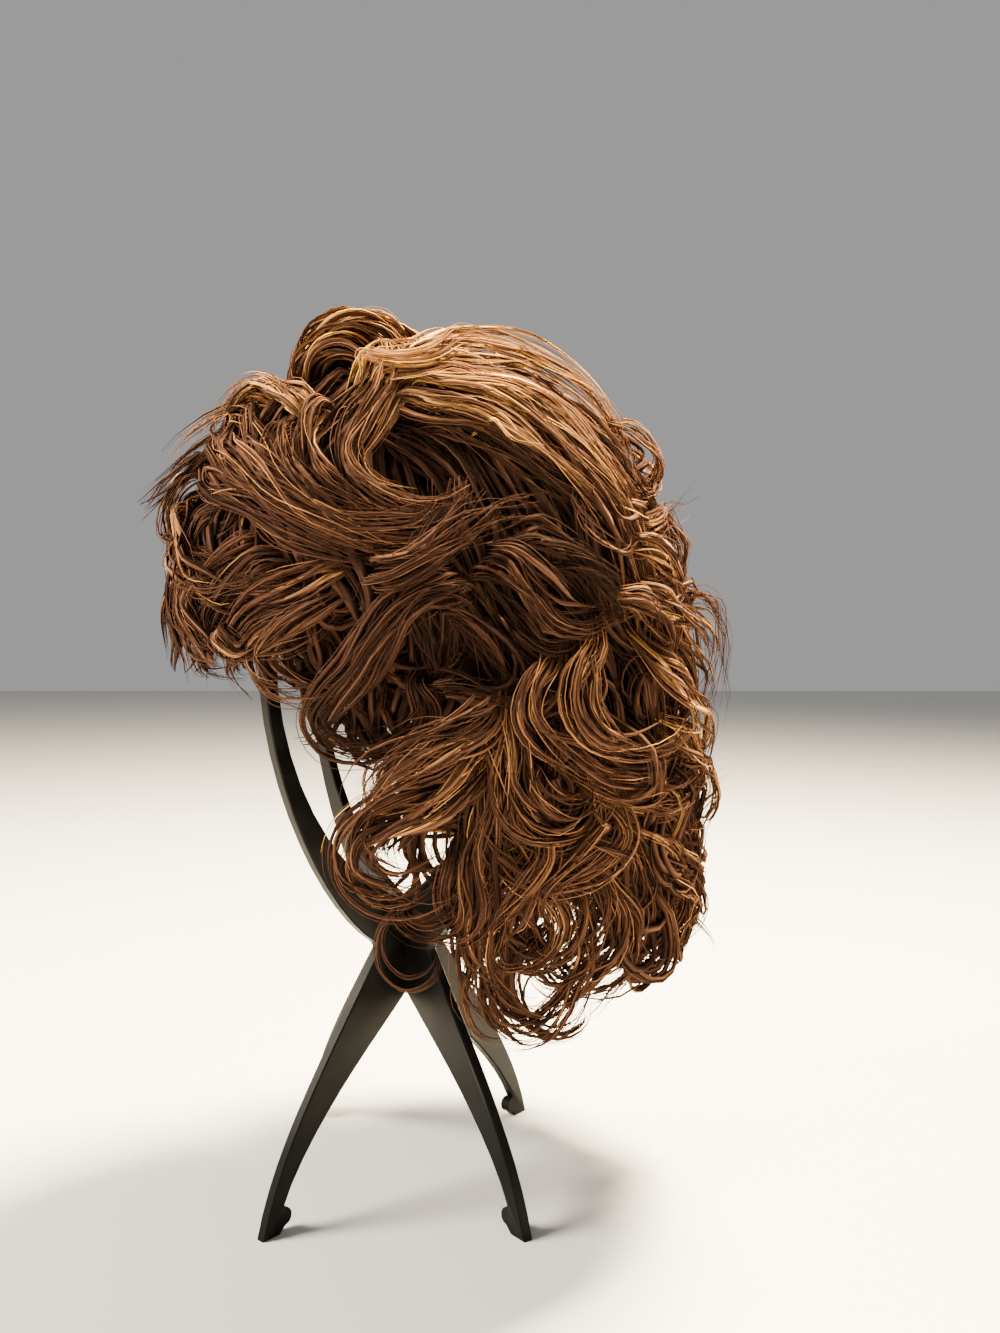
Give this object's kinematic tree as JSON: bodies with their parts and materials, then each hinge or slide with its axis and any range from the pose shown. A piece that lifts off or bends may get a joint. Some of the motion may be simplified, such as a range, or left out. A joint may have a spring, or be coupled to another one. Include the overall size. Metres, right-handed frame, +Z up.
{
  "type": "short curly wig on folding wig stand",
  "caption": "Short curly brown wig with a raised front roll, a fringe and loose hanging nape curls, kept in shape on a black folding stand of crossed flat frames",
  "frame": {"origin": "on the foot plane, under the middle of the whole object's bounding box", "axes": "+Z up, -Y towards the forehead, +X towards the wig's left side"},
  "size_m": [0.2104, 0.236, 0.362],
  "materials": {
    "hair": "soft sheen, brown with golden lights",
    "cap_cloth": "matt dark knit",
    "stand_plastic": "satin black"
  },
  "bodies": {
    "root": {"stand_frame_outer": "stand_plastic", "stand_frame_inner": "stand_plastic", "cap_crown": "cap_cloth", "cap_panel_1": "cap_cloth", "cap_panel_2": "cap_cloth", "cap_panel_3": "cap_cloth", "cap_panel_4": "cap_cloth", "cap_panel_5": "cap_cloth", "cap_panel_6": "cap_cloth", "cap_panel_7": "cap_cloth", "cap_panel_8": "cap_cloth", "crown_hair": "hair", "front_roll": "hair", "upper_left_wave": "hair", "upper_back_wave": "hair", "upper_right_wave": "hair", "brow_wave_1": "hair", "brow_wave_2": "hair", "brow_wave_3": "hair", "left_wave": "hair", "back_wave_1": "hair", "back_wave_2": "hair", "right_wave": "hair", "fringe_curl_1": "hair", "fringe_curl_2": "hair", "fringe_curl_3": "hair", "fringe_curl_4": "hair", "fringe_curl_5": "hair", "left_temple_curl": "hair", "right_temple_curl": "hair", "left_ear_curl": "hair", "right_ear_curl": "hair", "back_curl_1": "hair", "back_curl_2": "hair", "back_curl_3": "hair", "nape_curl_1": "hair", "nape_curl_2": "hair", "nape_curl_3": "hair", "nape_curl_4": "hair", "nape_curl_5": "hair", "nape_curl_6": "hair", "nape_curl_7": "hair", "nape_curl_8": "hair"}
  },
  "joints": []
}
